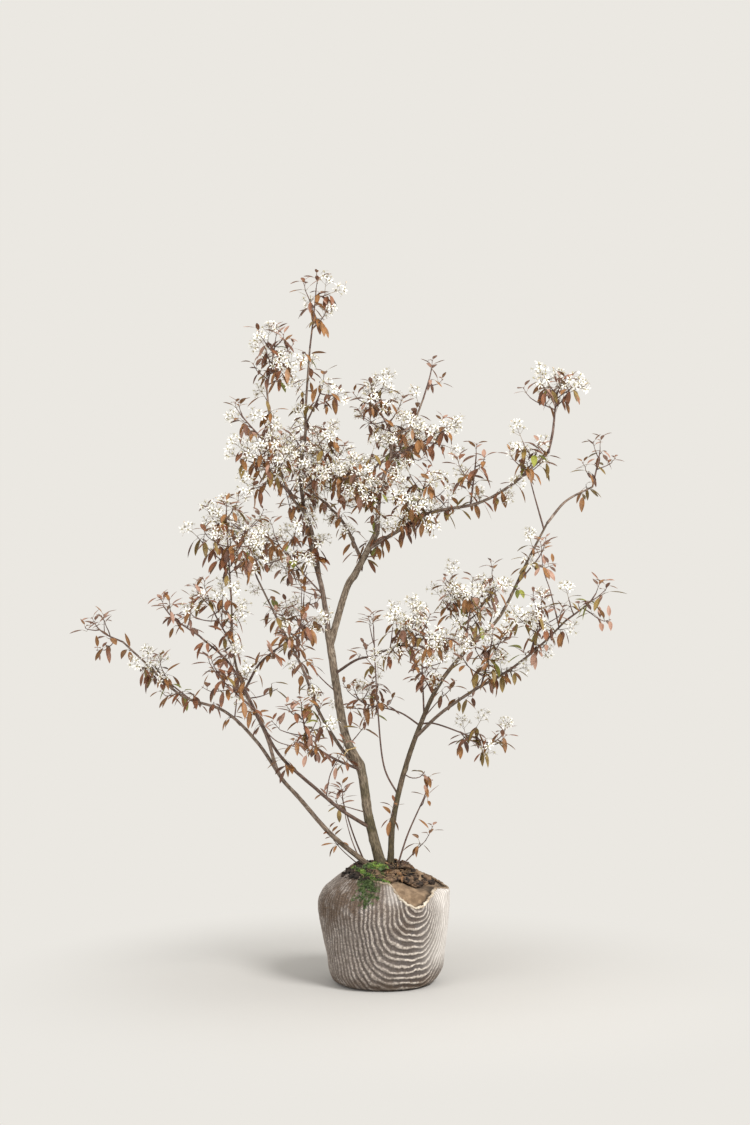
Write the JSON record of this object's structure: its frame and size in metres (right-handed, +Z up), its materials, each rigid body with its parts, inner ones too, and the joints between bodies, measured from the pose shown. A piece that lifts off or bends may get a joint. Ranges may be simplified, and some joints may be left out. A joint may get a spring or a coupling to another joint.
{
  "type": "serviceberry shrub on a root ball",
  "caption": "Upright multi-stemmed flowering shrub with slender forking boughs, coppery young leaves and white star blossom, standing on a cloth-wrapped root ball.",
  "frame": {"origin": "centre of the root ball's flat underside, on the level it stands on", "axes": "+Z up the plant's height, -Y towards the viewer of the picture, +X to that viewer's right"},
  "size_m": [1.6781, 0.965, 2.1446],
  "materials": {
    "bark": "matte grey-brown bark",
    "foliage": "coppery young leaves with white blossom",
    "root_ball_wrap": "soil-stained knitted cloth over packed soil"
  },
  "bodies": {
    "root": {"root_ball": "root_ball_wrap", "main_trunk": "bark", "left_stem": "bark", "right_stem": "bark", "leader": "bark", "left_leader": "bark", "right_fork": "bark", "inner_left_bough": "bark", "upper_bough": "bark", "long_right_bough": "bark", "right_top_bough": "bark", "right_stem_top": "bark", "bare_twig": "bark", "right_low_bough": "bark", "inner_right_bough": "bark", "far_left_bough": "bark", "left_long_bough": "bark", "left_forward_bough": "bark", "left_cross_bough": "bark", "kink_bough": "bark", "top_spray": "foliage", "left_leader_spray": "foliage", "leader_front_spray": "foliage", "outer_left_spray": "foliage", "centre_left_spray": "foliage", "centre_right_spray": "foliage", "centre_back_spray": "foliage", "upper_tip_spray": "foliage", "upper_left_spray": "foliage", "upper_side_spray": "foliage", "upper_front_spray": "foliage", "upper_back_spray": "foliage", "long_mid_spray": "foliage", "long_shoot_spray": "foliage", "long_end_spray": "foliage", "right_top_spray": "foliage", "rightmost_spray": "foliage", "left_stem_spray": "foliage", "left_long_spray": "foliage", "left_stem_side_spray": "foliage", "left_centre_spray": "foliage", "left_forward_spray": "foliage", "left_forward_side_spray": "foliage", "far_left_spray": "foliage", "far_left_mid_spray": "foliage", "left_cross_spray": "foliage", "left_long_side_spray": "foliage", "kink_spray": "foliage", "inner_right_spray": "foliage", "right_mid_spray": "foliage", "right_inner_spray": "foliage", "right_low_mid_spray": "foliage", "right_low_far_spray": "foliage", "right_low_spray": "foliage", "right_upper_spray": "foliage", "right_droop_spray": "foliage", "right_back_spray": "foliage", "back_shoot_spray": "foliage", "left_base_spray": "foliage", "right_base_spray": "foliage"}
  },
  "joints": []
}
